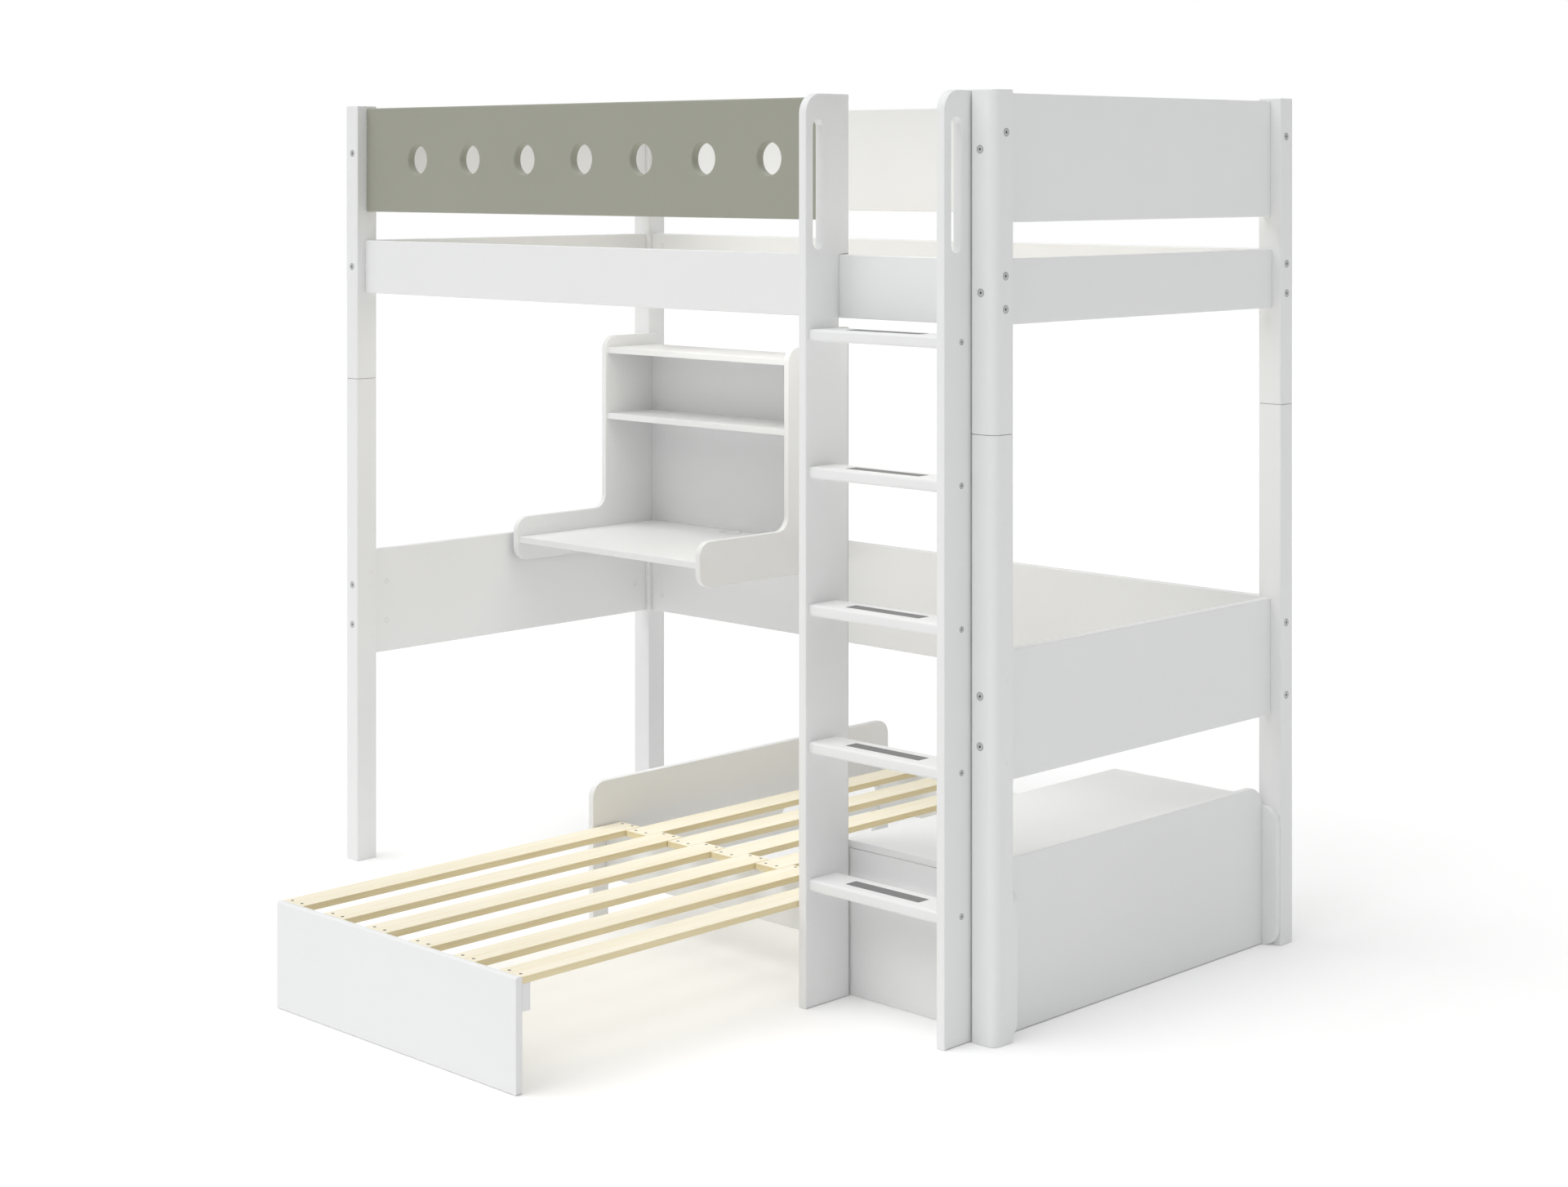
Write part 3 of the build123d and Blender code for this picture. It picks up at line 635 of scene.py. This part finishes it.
def fasteners(name, spots, make, *sizes, materials=(STEEL, PAINTED_SHADE), slot="bolt_steel", replaced=()):
    """One piece of many small parts on the frame, each at a spot and facing outward."""
    form = Form()
    for spot, outward in spots:
        make(form, spot, outward, *sizes)
    piece(name, form, materials, "frame", replaced)


heads = [((-END_X, FRONT_BOLT_Y, GUARD_HIGH), LEFT)]
for x, out in ((-END_X, LEFT), (END_X, RIGHT)):
    heads += [((x, y, z), out) for z in RAIL_PAIR for y in RAIL_BOLT_Y]
    heads += [((x, BACK_BOLT_Y, z), out) for z in (GUARD_HIGH, *LOWER_END_PAIR)]
for y, out in ((FRONT_Y, FORWARD), (BACK_Y, BACKWARD)):
    for side in (-1, 1):
        heads += [((side * RAIL_BOLT_X, y, RAIL_SINGLE), out)]
        heads += [((side * PANEL_BOLT_X, y, z), out) for z in (GUARD_LOW, *LOWER_FACE_PAIR)]
fasteners("frame_bolt_heads", heads, bolt_head, replaced=["frame_bolts"])

# The ladder's bolt goes through both stringers and ends in a white cap on the left one
LEFT_STRINGER_FACES, RIGHT_STRINGER_FACE = (595, 616), 988
form = Form()
bolt_head(form, (END_X, FRONT_BOLT_Y, GUARD_HIGH), RIGHT)
cap = [(5.5, 0.9), (7.2, 0.7), (8.2, 0.1), (8.2, -1)]
lathe(form, (LEFT_STRINGER_FACES[1], FRONT_BOLT_Y, GUARD_HIGH), RIGHT, cap, 28, 2)
piece(
    "ladder_bolt_heads", form, [STEEL, PAINTED_SHADE, PLASTIC], "frame", ["ladder_bolts"],
)

desk_bolts = [((x, 902, 727), BACKWARD) for x in (-978, -296)]
fasteners("desk_bolt_heads", desk_bolts, bolt_head, replaced=["desk_bolts"])

spacer = [(4.5, 4), (11, 4), (12, 3.4), (12, 0.6), (11.4, 0)]
fasteners(
    "stringer_spacer_shape", [((RIGHT_STRINGER_FACE, FRONT_BOLT_Y, GUARD_HIGH), RIGHT)],
    lathe, spacer, 32, materials=[PLASTIC], slot="white_plastic", replaced=["stringer_spacer"],
)

# Screws through the stringers into the treads, seen from outside
tread_screws = []
for cad in TREADS:
    y0, z0, y1, z1 = section_of(cad, "x")
    for x, out in ((LEFT_STRINGER_FACES[0], LEFT), (RIGHT_STRINGER_FACE, RIGHT)):
        tread_screws += [((x, (y0 + y1) / 2, (z0 + z1) / 2), out)]
fasteners("tread_screws", tread_screws, bolt_head, 5.6)

# Barrel nuts let into the inner faces of the boards, near the posts
NUT = [(4.6, -0.3), (5.4, 0.1), (6.0, 0.05), (6.0, -2)]
POST_INNER_X, POST_INNER_Y, NUT_SETBACK = 992, (-49.5, 870.5), 40
SIDE_BOARD_X, BACK_BOARD_Y, FRONT_BOARD_Y = 1003.5, 882, -61
nut_x = POST_INNER_X - NUT_SETBACK
nuts = []
for side, inner in ((-1, RIGHT), (1, LEFT)):
    for y in (POST_INNER_Y[0] + NUT_SETBACK, POST_INNER_Y[1] - NUT_SETBACK):
        heights = (*LOWER_FACE_PAIR, RAIL_SINGLE, GUARD_LOW)
        nuts += [((side * SIDE_BOARD_X, y, z), inner) for z in heights]
    heights = (*LOWER_END_PAIR, *RAIL_PAIR, GUARD_HIGH)
    nuts += [((side * nut_x, BACK_BOARD_Y, z), FORWARD) for z in heights]
    nuts += [((side * nut_x, FRONT_BOARD_Y, z), BACKWARD) for z in RAIL_PAIR]
nuts += [((-nut_x, FRONT_BOARD_Y, GUARD_HIGH), BACKWARD)]
fasteners("barrel_nuts", nuts, lathe, NUT, 20, materials=[STEEL])

# White caps in unused holes of the posts
CAP = [(3.2, 0.5), (4.2, 0.35), (4.8, 0), (4.8, -1)]
caps = [((-POST_INNER_X, -66, z), RIGHT) for z in (712, 680, 579, 551)]
caps += [((END_X, FRONT_BOLT_Y, z), RIGHT) for z in LOWER_END_PAIR]
fasteners("hole_caps", caps, lathe, CAP, 20, materials=[PLASTIC], slot="white_plastic")

# Two screws at each end of a slat, and one in each plate of the chest
SCREW_PAIR = (-16.2, 16.2)
for name, middles, ends, top, body in (
    ("fixed_slat_screws", fixed_middles, (-17, 902.5), 216.7, "frame"),
    ("pullout_slat_screws", pulled_middles, (-902.5, 4), 217, "pull_out"),
):
    form = Form()
    for x in middles:
        for y in ends:
            for aside in SCREW_PAIR:
                screw_head(form, (x + aside, y, top), UP)
    piece(name, form, [SCREW, PAINTED_SHADE], body)

plate_screws = [((1026, y, 150), out) for y, out in zip(POST_INNER_Y, (FORWARD, BACKWARD))]
fasteners("chest_plate_screws", plate_screws, bolt_head, 4.5)

# What stays as packed gets its material by slot
for cad, slot in (
    ("post_tenons", "bare_wood"), ("pullout_crossbar", "white_paint"),
    ("hinge_pins", "hinge_steel"), ("hinge_fixed_leaves", "hinge_steel"),
    ("hinge_lid_leaves", "hinge_steel"),
):
    obj = NODES[cad]
    obj.data.materials.clear()
    obj.data.materials.append(SLOT_MATERIALS[slot])

# Studio, in metres. The floor glows a little, so that it stays as pale as the backdrop.
FLOOR_WHITE, FLOOR_GLOW = (0.93, 0.93, 0.93), 0.12
FLOOR_LEVEL, FLOOR_REACH, FLOOR_CELLS = -0.0005, 30.0, 12
mat, tree, shader = new_material("studio_floor")
tint = noise(tree, stretched(tree, (1, 1, 1)), 0.6)
stops = [(0.3, tuple(c * 0.99 for c in FLOOR_WHITE)), (0.7, FLOOR_WHITE)]
tree.links.new(ramp(tree, tint, stops), shader.inputs["Base Color"])
shader.inputs["Roughness"].default_value = 0.9
shader.inputs["Specular IOR Level"].default_value = 0.1
shader.inputs["Emission Color"].default_value = (1, 1, 1, 1)
shader.inputs["Emission Strength"].default_value = FLOOR_GLOW
mesh = bpy.data.meshes.new("studio_floor")
row = FLOOR_CELLS + 1
grid = [-FLOOR_REACH + 2 * FLOOR_REACH * k / FLOOR_CELLS for k in range(row)]
cells = [j * row + i for j in range(FLOOR_CELLS) for i in range(FLOOR_CELLS)]
mesh.from_pydata(
    [(x, y, FLOOR_LEVEL) for y in grid for x in grid], [],
    [(c, c + 1, c + row + 1, c + row) for c in cells],
)
mesh.materials.append(mat)
floor = bpy.data.objects.new("studio_floor", mesh)
bpy.context.scene.collection.objects.link(floor)

scene = bpy.context.scene
scene.view_settings.view_transform = "Standard"
scene.view_settings.look = "None"

# The backdrop itself is plain white, and it lights the bed less than it shows
SKY_LIGHT, SKY_SHOWN = 0.26, 1.0
world = bpy.data.worlds.new("studio")
scene.world = world
world.use_nodes = True
sky = world.node_tree
background = sky.nodes["Background"]
background.inputs["Color"].default_value = (1, 1, 1, 1)
rays = node(sky, "ShaderNodeLightPath")
strength = spread(sky, rays.outputs["Is Camera Ray"], SKY_LIGHT, SKY_SHOWN)
sky.links.new(strength, background.inputs["Strength"])


def add_lamp(name, kind, energy):
    lamp = bpy.data.lights.new(name, kind)
    lamp.energy = energy
    obj = bpy.data.objects.new(name, lamp)
    scene.collection.objects.link(obj)
    return lamp, obj


def wide_light(name, tilt, lean, width, energy):
    """A distant, wide light: tilt brings it to the front and lean to the left, in degrees."""
    lamp, obj = add_lamp(name, "SUN", energy)
    lamp.angle = math.radians(width)
    obj.rotation_euler = (math.radians(tilt), math.radians(lean), 0)


def fill_light(name, place, size, power):
    """A weak softbox that faces down and doesn't show itself."""
    lamp, obj = add_lamp(name, "AREA", power)
    lamp.shape = "RECTANGLE"
    lamp.size, lamp.size_y = size
    obj.location = place
    obj.visible_camera = False


wide_light("front_bank", 31, -20, 60, 1.25)
wide_light("ceiling_bank", 0, 0, 100, 1.45)
fill_light("fill_under_bed", (0, 0.4, 1.38), (1.8, 0.8), 2.9)
fill_light("fill_over_bed", (0, 0.4, 1.95), (1.7, 0.7), 1.6)

# Camera, fitted to the photograph's edges: it looks level, and the shift lowers the frame
EYE, HEADING = (4.4307, -4.1477, 1.7083), 44.363
camera = bpy.data.cameras.new("camera")
camera.sensor_width = 36.0
camera.lens = 62.17
camera.shift_y = -0.2708
camera.clip_start, camera.clip_end = 0.1, 200.0
eye = bpy.data.objects.new("camera", camera)
scene.collection.objects.link(eye)
eye.location = EYE
eye.rotation_euler = (math.radians(90), 0, math.radians(HEADING))
scene.camera = eye
